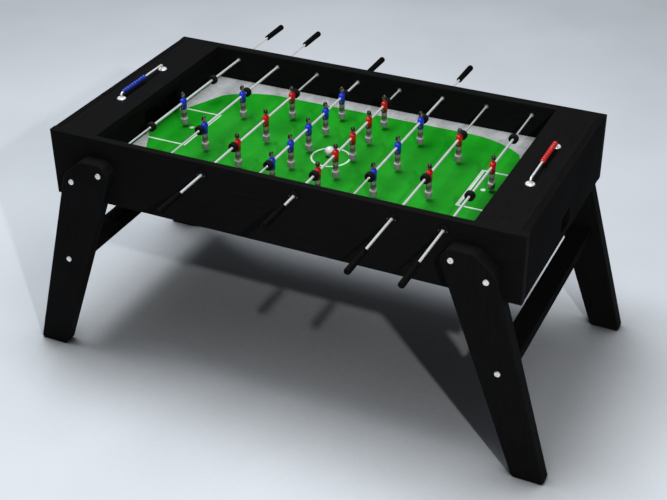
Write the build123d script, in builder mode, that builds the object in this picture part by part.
from build123d import *
import os

# Foosball table with telescopic rods. Millimetres.
# X runs along the table, Y across it with the front at -Y, and +Z is up.
# The origin is on the floor, under the middle of the table.

# Cabinet
CABINET_LENGTH = 1400.0
CABINET_WIDTH = 734.0
CABINET_TOP = 728.0
CABINET_BOTTOM = 525.0
WALL = 25.0
LIP_RADIUS = 8.0
EDGE_RADIUS = 3.0
TOUCH = 0.01

HALF_LENGTH = CABINET_LENGTH / 2
HALF_WIDTH = CABINET_WIDTH / 2
INNER_Y = HALF_WIDTH - WALL
END_INNER_X = HALF_LENGTH - WALL
CABINET_HEIGHT = CABINET_TOP - CABINET_BOTTOM
CABINET_MID = (CABINET_TOP + CABINET_BOTTOM) / 2

# Playing well
WELL_X = 558.0
GOAL_WALL = 18.0
BOARD = 12.0
FIELD_Z = 614.0
DECK = 18.0
DECK_UNDER = CABINET_TOP - DECK
BOARD_X = WELL_X + GOAL_WALL
GOAL_WIDTH = 207.0
GOAL_HEIGHT = 78.0
GOAL_CORNER = 8.0

# White banks round the field, which rise towards the walls
BANK_RISE = 8.5
BANK_LAND = 2.0
BANK_Y = 304.0
BANK_STRAIGHT_X = 300.0
BANK_CORNER = (489.0, 236.0)
BANK_SIDE_BEND = (400.0, 288.0)
BANK_END_BEND = (522.0, 162.0)
BANK_END_Y = 88.0

# Ball return
RETURN_WIDTH = 80.0
RETURN_HEIGHT = 50.0
RETURN_CORNER = 12.0
RETURN_Z = 575.0
TRAY_WALL = 4.0
TRAY_WIDTH = 220.0
TRAY_BOTTOM = 538.0
TRAY_TOP = 600.0
TRAY_X = 579.0

# Legs: an outline in X and Z for the right-hand end
LEG_THICKNESS = 38.5
LEG_OUTLINE = [(489.0, 634.0), (511.5, 669.0), (583.0, 669.0), (641.0, 619.0), (813.0, 0.0), (721.0, 0.0)]
FOOT_CHAMFER = 8.0
LEG_EDGE = 2.5
LEG_OUTER_Y = HALF_WIDTH + LEG_THICKNESS

# Stretchers between the legs of one end
STRETCHER_X = 663.0
STRETCHER_Z = 328.0
STRETCHER_WIDTH = 60.0
STRETCHER_HEIGHT = 37.0
STRETCHER_EDGE = 2.0

# Leg bolts: (x, z, how far past the leg)
BOLT_RADIUS = 4.0
BOLT_HEAD_RADIUS = 8.25
BOLT_HEAD = 4.5
BOLT_DOME = 3.0
FIT = 0.05
BOLTS = [(522.0, 636.0, 15.0), (617.0, 597.0, 15.0), (STRETCHER_X, STRETCHER_Z, 45.0)]

# Rods: (name, number of men, side of the handle: 1 back, -1 front), from left to right
RODS = [
    ("blue_goalie", 1, 1),
    ("blue_defence", 2, 1),
    ("red_attack", 3, -1),
    ("blue_midfield", 5, 1),
    ("red_midfield", 5, -1),
    ("blue_attack", 3, 1),
    ("red_defence", 2, -1),
    ("red_goalie", 1, -1),
]
ROD_PITCH = 138.9
ROD_Z = 693.0
TUBE_RADIUS = 4.25
SPINDLE_RADIUS = 2.75
RUNNING = 0.08
SPINDLE_PAST_MIDDLE = 150.0
SPINDLE_SEAT = 14.0
TUBE_PAST_BUMPER = 2.0
TUBE_IN_HANDLE = 95.0

# What depends on the number of men on a rod
MAN_SPACING = {1: 0.0, 2: 228.0, 3: 169.0, 5: 113.0}
BUMPER_Y = {1: 177.0, 2: 140.0, 3: 191.0, 5: 246.0}
HANDLE_START = {1: 534.0, 2: 534.0, 3: 481.0, 5: 427.0}

# Bumpers and handles
BUMPER_RADIUS = 14.0
BUMPER_LENGTH = 15.0
BUMPER_ROUND = 3.0
HANDLE_LENGTH = 107.0
HANDLE_RADIUS = 9.3
HANDLE_NECK = 8.3
HANDLE_MOUTH = 7.2
HANDLE_TAPER = 2.5
HANDLE_ROUND = 5.0

# Men: sections from the sole to the neck, as (height over the rod, depth in X, width in Y)
MAN_SECTIONS = [
    (-68.5, 17.0, 20.0),
    (-66.5, 20.0, 22.0),
    (-51.0, 20.0, 22.0),
    (-49.0, 16.0, 18.0),
    (-47.0, 14.0, 17.0),
    (-22.0, 14.0, 18.0),
    (-19.0, 16.5, 20.0),
    (0.0, 17.5, 22.0),
    (10.0, 16.0, 25.0),
    (14.5, 9.0, 16.0),
]
SECTION_CORNER = 3.0
HEAD_CENTRE = 24.0
HEAD_HALF_WIDTH = 7.2
HEAD_HALF_HEIGHT = 10.0

# Rod bearings
HOUSING_FLANGE_RADIUS = 15.5
HOUSING_FLANGE = 4.0
HOUSING_SLEEVE_RADIUS = 8.5
BUSH_RADIUS = 5.4
BUSH_FLANGE_RADIUS = 6.2
BUSH_FLANGE = 2.0
BLIND_BUSH = 16.0
SCREW_OFFSET = 11.2
SCREW_RADIUS = 1.25
SCREW_HEAD_RADIUS = 2.2
SCREW_HEAD = 1.4
SCREW_LENGTH = 16.0

# Score bars and beads
SCORE_X = 626.0
SCORE_POST_Y = 114.0
SCORE_BAR_Z = 744.0
SCORE_BAR_RADIUS = 3.0
SCORE_BEND = 8.0
SCORE_FOOT_RADIUS = 13.2
SCORE_FOOT = 3.5
SCORE_TENON = 12.0
BEAD_COUNT = 10
BEAD_RADIUS = 7.4
BEAD_LENGTH = 11.6
BEAD_PITCH = 12.0
BEAD_ROUND = 3.5
BEAD_FIT = 0.1
BEAD_END_Y = 104.5

# Ball
BALL_RADIUS = 15.0
BALL_X = -5.0
BALL_Y = 5.0
BALL_GAP = 0.3


def rod_x(index):
    """X of a rod, counted from the left."""
    return (index - (len(RODS) - 1) / 2) * ROD_PITCH


def rounds_along_y(places, y_from, y_to, radius, mode=Mode.ADD):
    """Round bars or holes along Y between two distances, one at each (x, z)."""
    middle = (y_from + y_to) / 2
    with Locations(*[Location((x, middle, z), (90, 0, 0)) for x, z in places]):
        Cylinder(radius, abs(y_to - y_from), mode=mode)


def save(piece, name):
    """Label a finished piece and write its STEP file."""
    piece.part.label = name
    export_step(piece.part, f"parts/{name}.step")


def exits(side):
    """Where rods leave the cabinet through the panel on this side."""
    return [(rod_x(i), ROD_Z) for i, rod in enumerate(RODS) if rod[2] == side]


def screw_places(side):
    """The two flange screws of each rod exit on this side."""
    return [(x + offset, z) for x, z in exits(side) for offset in (-SCREW_OFFSET, SCREW_OFFSET)]


def bolt_places(ends):
    """Leg bolt positions as (x, z, depth), at the given ends."""
    return [(end * x, z, depth) for end in ends for x, z, depth in BOLTS]


os.makedirs("parts", exist_ok=True)

# Side panels: the front one and the back one
with BuildPart() as side_panels:
    with Locations(*[(0, side * (HALF_WIDTH - WALL / 2), CABINET_MID) for side in (-1, 1)]):
        Box(CABINET_LENGTH, WALL, CABINET_HEIGHT)
    outer_edges = side_panels.edges().filter_by(lambda e: abs(abs(e.center().Y) - HALF_WIDTH) < TOUCH)
    fillet(outer_edges, EDGE_RADIUS)
    with BuildSketch(Plane.YZ.offset(-WELL_X)) as lip:
        with Locations(*[(s * (INNER_Y + LIP_RADIUS / 2), CABINET_TOP - LIP_RADIUS / 2) for s in (-1, 1)]):
            Rectangle(LIP_RADIUS, LIP_RADIUS)
        with Locations(*[(s * (INNER_Y + LIP_RADIUS), CABINET_TOP - LIP_RADIUS) for s in (-1, 1)]):
            Circle(LIP_RADIUS, mode=Mode.SUBTRACT)
    extrude(amount=2 * WELL_X, mode=Mode.SUBTRACT)
    for side in (-1, 1):
        inner, outer = side * INNER_Y, side * HALF_WIDTH
        rounds_along_y(exits(side), inner, outer, HOUSING_SLEEVE_RADIUS + FIT, Mode.SUBTRACT)
        blind_end = side * (INNER_Y + BLIND_BUSH + FIT)
        rounds_along_y(exits(-side), inner, blind_end, BUSH_RADIUS + FIT, Mode.SUBTRACT)
        screw_end = side * (HALF_WIDTH - SCREW_LENGTH)
        rounds_along_y(screw_places(side), outer, screw_end, SCREW_RADIUS + FIT, Mode.SUBTRACT)
        for x, z, depth in bolt_places((-1, 1)):
            if z > CABINET_BOTTOM:
                bolt_end = side * (HALF_WIDTH - depth - FIT)
                rounds_along_y([(x, z)], outer, bolt_end, BOLT_RADIUS + FIT, Mode.SUBTRACT)
save(side_panels, "side_panels")

# End panels between the side panels, each with a ball return opening
with BuildPart() as end_panels:
    with Locations(*[(end * (HALF_LENGTH - WALL / 2), 0, CABINET_MID) for end in (-1, 1)]):
        Box(WALL, 2 * INNER_Y, CABINET_HEIGHT)
    outer_faces = end_panels.edges().filter_by(Axis.Y)
    outer_faces = outer_faces.filter_by(lambda e: abs(abs(e.center().X) - HALF_LENGTH) < TOUCH)
    fillet(outer_faces, EDGE_RADIUS)
    with BuildSketch(Plane.YZ.offset(-HALF_LENGTH)) as return_opening:
        with Locations((0, RETURN_Z)):
            RectangleRounded(RETURN_WIDTH, RETURN_HEIGHT, RETURN_CORNER)
    extrude(amount=CABINET_LENGTH, mode=Mode.SUBTRACT)
save(end_panels, "end_panels")

# Decks on top of the two ends, with holes for the score posts
DECK_LENGTH = END_INNER_X - WELL_X
with BuildPart() as end_decks:
    with Locations(*[(e * (WELL_X + DECK_LENGTH / 2), 0, CABINET_TOP - DECK / 2) for e in (-1, 1)]):
        Box(DECK_LENGTH, 2 * INNER_Y, DECK)
    well_edges = end_decks.edges().filter_by(Axis.Y).group_by(Axis.Z)[-1]
    well_edges = well_edges.filter_by(lambda e: abs(abs(e.center().X) - WELL_X) < TOUCH)
    fillet(well_edges, EDGE_RADIUS)
    post_places = [(e * SCORE_X, s * SCORE_POST_Y, CABINET_TOP) for e in (-1, 1) for s in (-1, 1)]
    with Locations(*post_places):
        tenon_align = (Align.CENTER, Align.CENTER, Align.MAX)
        Cylinder(SCORE_BAR_RADIUS + FIT, SCORE_TENON + FIT, align=tenon_align, mode=Mode.SUBTRACT)
save(end_decks, "end_decks")

# Goal walls, which stand on the board and carry the decks
with BuildPart() as goal_walls:
    wall_middle = (FIELD_Z + DECK_UNDER) / 2
    with Locations(*[(end * (WELL_X + GOAL_WALL / 2), 0, wall_middle) for end in (-1, 1)]):
        Box(GOAL_WALL, 2 * INNER_Y, DECK_UNDER - FIELD_Z)
    with BuildSketch(Plane.YZ.offset(-BOARD_X)) as goal:
        with Locations((0, FIELD_Z)):
            RectangleRounded(GOAL_WIDTH, 2 * GOAL_HEIGHT, GOAL_CORNER)
    extrude(amount=2 * BOARD_X, mode=Mode.SUBTRACT)
save(goal_walls, "goal_walls")

# Playing field board
with BuildPart() as playfield_board:
    with Locations((0, 0, FIELD_Z - BOARD / 2)):
        Box(2 * BOARD_X, 2 * INNER_Y, BOARD)
save(playfield_board, "playfield_board")


def bank_outline(plane, corner, side_bend, end_bend, side_y, end_x, end_y):
    """A closed outline round the field: two long sides and, at each corner, two curves that meet."""
    with BuildSketch(plane) as outline:
        with BuildLine():
            for sx, sy in ((1, 1), (-1, -1)):
                Line((-sx * BANK_STRAIGHT_X, sy * side_y), (sx * BANK_STRAIGHT_X, sy * side_y))
                Line((sx * end_x, sy * end_y), (sx * end_x, -sy * end_y))
            for sx in (-1, 1):
                for sy in (-1, 1):
                    start, finish = (sx * BANK_STRAIGHT_X, sy * side_y), (sx * end_x, sy * end_y)
                    turn = (sx * corner[0], sy * corner[1])
                    ThreePointArc(start, (sx * side_bend[0], sy * side_bend[1]), turn)
                    ThreePointArc(turn, (sx * end_bend[0], sy * end_bend[1]), finish)
        make_face()
    return outline


# White banks: the rim of the field, cut by a funnel that opens from the green up to the walls
wide_x, wide_y = WELL_X - BANK_LAND, INNER_Y - BANK_LAND
wide_corner = (wide_x - BANK_LAND, wide_y - BANK_LAND)
wide_side = ((BANK_STRAIGHT_X + wide_corner[0]) / 2, wide_y - BANK_LAND / 4)
wide_end = (wide_x + BANK_LAND / 4, (wide_y + BANK_END_Y) / 2)
green_plane, top_plane = Plane.XY.offset(FIELD_Z), Plane.XY.offset(FIELD_Z + BANK_RISE)
green_edge = bank_outline(green_plane, BANK_CORNER, BANK_SIDE_BEND, BANK_END_BEND, BANK_Y, WELL_X, BANK_END_Y)
bank_crest = bank_outline(top_plane, wide_corner, wide_side, wide_end, wide_y, WELL_X, BANK_END_Y)
with BuildPart() as field_banks:
    with Locations((0, 0, FIELD_Z + BANK_RISE / 2)):
        Box(2 * WELL_X, 2 * INNER_Y, BANK_RISE)
    loft(sections=[green_edge.sketch, bank_crest.sketch], ruled=True, mode=Mode.SUBTRACT)
save(field_banks, "field_banks")

# Ball trays behind the goals, open at the top and towards the return opening
TRAY_LENGTH = END_INNER_X - TRAY_X
TRAY_HEIGHT = TRAY_TOP - TRAY_BOTTOM
with BuildPart() as ball_trays:
    with Locations(*[(e * (TRAY_X + TRAY_LENGTH / 2), 0, (TRAY_TOP + TRAY_BOTTOM) / 2) for e in (-1, 1)]):
        Box(TRAY_LENGTH, TRAY_WIDTH, TRAY_HEIGHT)
    with Locations(*[(e * (TRAY_X + TRAY_LENGTH / 2), 0, TRAY_BOTTOM + TRAY_WALL) for e in (-1, 1)]):
        inside = (TRAY_LENGTH - 2 * TRAY_WALL, TRAY_WIDTH - 2 * TRAY_WALL, TRAY_HEIGHT)
        Box(*inside, align=(Align.CENTER, Align.CENTER, Align.MIN), mode=Mode.SUBTRACT)
    with Locations(*[(e * (END_INNER_X - TRAY_WALL / 2), 0, RETURN_Z - RETURN_HEIGHT / 2) for e in (-1, 1)]):
        mouth = (2 * TRAY_WALL, RETURN_WIDTH, TRAY_HEIGHT)
        Box(*mouth, align=(Align.CENTER, Align.CENTER, Align.MIN), mode=Mode.SUBTRACT)
save(ball_trays, "ball_trays")


def leg(end, side):
    """One splayed leg plate, bolted to the outside of a side panel."""
    with BuildPart() as plate:
        with BuildSketch(Plane.XZ.offset(-side * HALF_WIDTH)) as outline:
            with BuildLine():
                Polyline(*[(end * x, z) for x, z in LEG_OUTLINE], close=True)
            make_face()
            chamfer(outline.vertices().group_by(Axis.Z)[0], FOOT_CHAMFER)
        extrude(amount=-side * LEG_THICKNESS)
        face_edges = plate.faces().sort_by(Axis.Y)[-1 if side > 0 else 0].edges()
        chamfer(face_edges, LEG_EDGE)
        holes = [(x, z) for x, z, depth in bolt_places((end,))]
        rounds_along_y(holes, side * HALF_WIDTH, side * LEG_OUTER_Y, BOLT_RADIUS + FIT, Mode.SUBTRACT)
    return plate


for depth_name, side in (("front", -1), ("back", 1)):
    for end_name, end in (("left", -1), ("right", 1)):
        save(leg(end, side), f"{depth_name}_{end_name}_leg")

# Stretchers
with BuildPart() as leg_stretchers:
    with Locations(*[(end * STRETCHER_X, 0, STRETCHER_Z) for end in (-1, 1)]):
        Box(STRETCHER_WIDTH, CABINET_WIDTH, STRETCHER_HEIGHT)
    fillet(leg_stretchers.edges().filter_by(Axis.Y), STRETCHER_EDGE)
    stretcher_ends = [(end * STRETCHER_X, STRETCHER_Z) for end in (-1, 1)]
    bolt_depth = BOLTS[-1][2] + FIT
    for side in (-1, 1):
        blind = side * (HALF_WIDTH - bolt_depth)
        rounds_along_y(stretcher_ends, side * HALF_WIDTH, blind, BOLT_RADIUS + FIT, Mode.SUBTRACT)
save(leg_stretchers, "leg_stretchers")

# Leg bolts with domed heads
with BuildPart() as leg_bolts:
    for side in (-1, 1):
        head_places = [(x, z) for x, z, depth in bolt_places((-1, 1))]
        rounds_along_y(head_places, side * LEG_OUTER_Y, side * (LEG_OUTER_Y + BOLT_HEAD), BOLT_HEAD_RADIUS)
    rims = leg_bolts.edges().filter_by(lambda e: abs(abs(e.center().Y) - LEG_OUTER_Y - BOLT_HEAD) < TOUCH)
    fillet(rims, BOLT_DOME)
    for side in (-1, 1):
        for x, z, depth in bolt_places((-1, 1)):
            rounds_along_y([(x, z)], side * LEG_OUTER_Y, side * (HALF_WIDTH - depth), BOLT_RADIUS)
save(leg_bolts, "leg_bolts")

# Bearing housings, where rods leave the cabinet
FLANGE_FACE = HALF_WIDTH + HOUSING_FLANGE
with BuildPart() as bearing_housings:
    for side in (-1, 1):
        rounds_along_y(exits(side), side * HALF_WIDTH, side * FLANGE_FACE, HOUSING_FLANGE_RADIUS)
    flange_rims = bearing_housings.edges().filter_by(lambda e: abs(abs(e.center().Y) - FLANGE_FACE) < TOUCH)
    fillet(flange_rims, HOUSING_FLANGE / 2)
    for side in (-1, 1):
        rounds_along_y(exits(side), side * INNER_Y, side * HALF_WIDTH, HOUSING_SLEEVE_RADIUS)
        rounds_along_y(exits(side), side * INNER_Y, side * FLANGE_FACE, BUSH_RADIUS + FIT, Mode.SUBTRACT)
        screw_holes = screw_places(side)
        rounds_along_y(screw_holes, side * HALF_WIDTH, side * FLANGE_FACE, SCREW_RADIUS + FIT, Mode.SUBTRACT)
save(bearing_housings, "bearing_housings")

# Nylon bushes: through ones hold the tubes, blind ones hold the spindles
BUSH_FACE = INNER_Y - BUSH_FLANGE
with BuildPart() as bearing_bushes:
    for side in (-1, 1):
        rounds_along_y(exits(side) + exits(-side), side * BUSH_FACE, side * INNER_Y, BUSH_FLANGE_RADIUS)
        rounds_along_y(exits(side), side * INNER_Y, side * FLANGE_FACE, BUSH_RADIUS)
        rounds_along_y(exits(-side), side * INNER_Y, side * (INNER_Y + BLIND_BUSH), BUSH_RADIUS)
        tube_bore = TUBE_RADIUS + RUNNING
        rounds_along_y(exits(side), side * BUSH_FACE, side * FLANGE_FACE, tube_bore, Mode.SUBTRACT)
        spindle_end = side * (INNER_Y + SPINDLE_SEAT + FIT)
        rounds_along_y(exits(-side), side * BUSH_FACE, spindle_end, SPINDLE_RADIUS + RUNNING, Mode.SUBTRACT)
save(bearing_bushes, "bearing_bushes")

# Flange screws
with BuildPart() as bearing_screws:
    for side in (-1, 1):
        head_face = side * (FLANGE_FACE + SCREW_HEAD)
        rounds_along_y(screw_places(side), side * FLANGE_FACE, head_face, SCREW_HEAD_RADIUS)
    head_rims = bearing_screws.edges().filter_by(lambda e: abs(abs(e.center().Y) - FLANGE_FACE - SCREW_HEAD) < TOUCH)
    fillet(head_rims, SCREW_HEAD / 2)
    for side in (-1, 1):
        screw_tip = side * (HALF_WIDTH - SCREW_LENGTH + FIT)
        rounds_along_y(screw_places(side), side * FLANGE_FACE, screw_tip, SCREW_RADIUS)
save(bearing_screws, "bearing_screws")

# Score bars: each a rod bent down into two round feet
with BuildPart() as score_bars:
    for end in (-1, 1):
        with BuildLine(Plane.YZ.offset(end * SCORE_X)) as bar_path:
            foot_z = CABINET_TOP - SCORE_TENON
            corners = [(-SCORE_POST_Y, foot_z), (-SCORE_POST_Y, SCORE_BAR_Z)]
            corners += [(SCORE_POST_Y, SCORE_BAR_Z), (SCORE_POST_Y, foot_z)]
            FilletPolyline(*corners, radius=SCORE_BEND)
        with BuildSketch(Plane.XY.offset(foot_z)):
            with Locations((end * SCORE_X, -SCORE_POST_Y)):
                Circle(SCORE_BAR_RADIUS)
        sweep(path=bar_path.line)
    with Locations(*post_places):
        foot_align = (Align.CENTER, Align.CENTER, Align.MIN)
        Cone(SCORE_FOOT_RADIUS, SCORE_FOOT_RADIUS - SCORE_FOOT / 2, SCORE_FOOT, align=foot_align)
save(score_bars, "score_bars")


def score_beads(end, first_y, step):
    """A stack of beads on the score bar of one end."""
    with BuildPart() as beads:
        for index in range(BEAD_COUNT):
            y = first_y + step * (BEAD_PITCH * index + BEAD_LENGTH / 2)
            place = [(end * SCORE_X, SCORE_BAR_Z)]
            rounds_along_y(place, y - BEAD_LENGTH / 2, y + BEAD_LENGTH / 2, BEAD_RADIUS)
        fillet(beads.edges().filter_by(GeomType.CIRCLE), BEAD_ROUND)
        bore = [(end * SCORE_X, SCORE_BAR_Z)]
        rounds_along_y(bore, -SCORE_POST_Y, SCORE_POST_Y, SCORE_BAR_RADIUS + BEAD_FIT, Mode.SUBTRACT)
    return beads


save(score_beads(-1, -BEAD_END_Y, 1), "blue_score_beads")
save(score_beads(1, BEAD_END_Y, -1), "red_score_beads")

# One man, facing +X, with the rod's axis through the origin
with BuildPart() as man:
    for height, depth, width in MAN_SECTIONS:
        with BuildSketch(Plane.XY.offset(height)):
            RectangleRounded(depth, width, SECTION_CORNER)
    loft(ruled=True)
    with BuildSketch(Plane.XZ) as head:
        with Locations((0, HEAD_CENTRE)):
            Ellipse(HEAD_HALF_WIDTH, HEAD_HALF_HEIGHT)
        with Locations((-HEAD_HALF_WIDTH, HEAD_CENTRE)):
            Rectangle(2 * HEAD_HALF_WIDTH, 4 * HEAD_HALF_HEIGHT, mode=Mode.SUBTRACT)
    revolve(axis=Axis.Z)
    rounds_along_y([(0, 0)], -BUMPER_LENGTH, BUMPER_LENGTH, TUBE_RADIUS + FIT, Mode.SUBTRACT)


def spindle(x, side):
    """The inner rod, from its seat in the far wall to just past the middle."""
    with BuildPart() as rod:
        far_end = -side * (INNER_Y + SPINDLE_SEAT)
        rounds_along_y([(x, ROD_Z)], far_end, side * SPINDLE_PAST_MIDDLE, SPINDLE_RADIUS)
    return rod


def tube(x, side, men):
    """The outer tube, from just past the far bumper to inside the handle."""
    with BuildPart() as rod:
        far_end = -side * (BUMPER_Y[men] + BUMPER_LENGTH / 2 + TUBE_PAST_BUMPER)
        near_end = side * (HANDLE_START[men] + TUBE_IN_HANDLE)
        rounds_along_y([(x, ROD_Z)], far_end, near_end, TUBE_RADIUS)
        rounds_along_y([(x, ROD_Z)], far_end, near_end, SPINDLE_RADIUS + RUNNING, Mode.SUBTRACT)
    return rod


def team(x, facing, men):
    """All the men of one rod."""
    middle = (men - 1) / 2
    with BuildPart() as line:
        with Locations(*[(x, (k - middle) * MAN_SPACING[men], ROD_Z) for k in range(men)]):
            add(man.part, rotation=(0, 0, 0 if facing > 0 else 180))
    return line


def bumpers(x, men):
    """The two rubber bumpers of one rod."""
    with BuildPart() as pair:
        for y in (-BUMPER_Y[men], BUMPER_Y[men]):
            rounds_along_y([(x, ROD_Z)], y - BUMPER_LENGTH / 2, y + BUMPER_LENGTH / 2, BUMPER_RADIUS)
        fillet(pair.edges().filter_by(GeomType.CIRCLE), BUMPER_ROUND)
        span = BUMPER_Y[men] + BUMPER_LENGTH
        rounds_along_y([(x, ROD_Z)], -span, span, TUBE_RADIUS + FIT, Mode.SUBTRACT)
    return pair


def handle(x, side, men):
    """The grip: a bevelled mouth, a body that widens to a round end, and a blind bore for the tube."""
    bore, depth = TUBE_RADIUS + FIT, TUBE_IN_HANDLE + FIT
    start = Vector(x, side * HANDLE_START[men], ROD_Z)
    with BuildPart() as grip:
        with BuildSketch(Plane(origin=start, x_dir=(side, 0, 0), z_dir=(0, 0, 1))):
            with BuildLine():
                Polyline(
                    (bore, 0),
                    (HANDLE_MOUTH, 0),
                    (HANDLE_NECK, HANDLE_TAPER),
                    (HANDLE_RADIUS, HANDLE_LENGTH),
                    (0, HANDLE_LENGTH),
                    (0, depth),
                    (bore, depth),
                    close=True,
                )
            make_face()
        revolve(axis=Axis(start, (0, 1, 0)))
        end_y = start.Y + side * HANDLE_LENGTH
        fillet(grip.edges().filter_by(lambda e: abs(e.center().Y - end_y) < TOUCH), HANDLE_ROUND)
    return grip


for index, (name, men, side) in enumerate(RODS):
    x = rod_x(index)
    facing = 1 if name.startswith("blue") else -1
    save(spindle(x, side), f"{name}_spindle")
    save(tube(x, side, men), f"{name}_tube")
    save(team(x, facing, men), f"{name}_men")
    save(bumpers(x, men), f"{name}_bumpers")
    save(handle(x, side, men), f"{name}_handle")

# Ball on the field near the middle
with BuildPart() as ball:
    with Locations((BALL_X, BALL_Y, FIELD_Z + BALL_RADIUS + BALL_GAP)):
        Sphere(BALL_RADIUS)
save(ball, "ball")
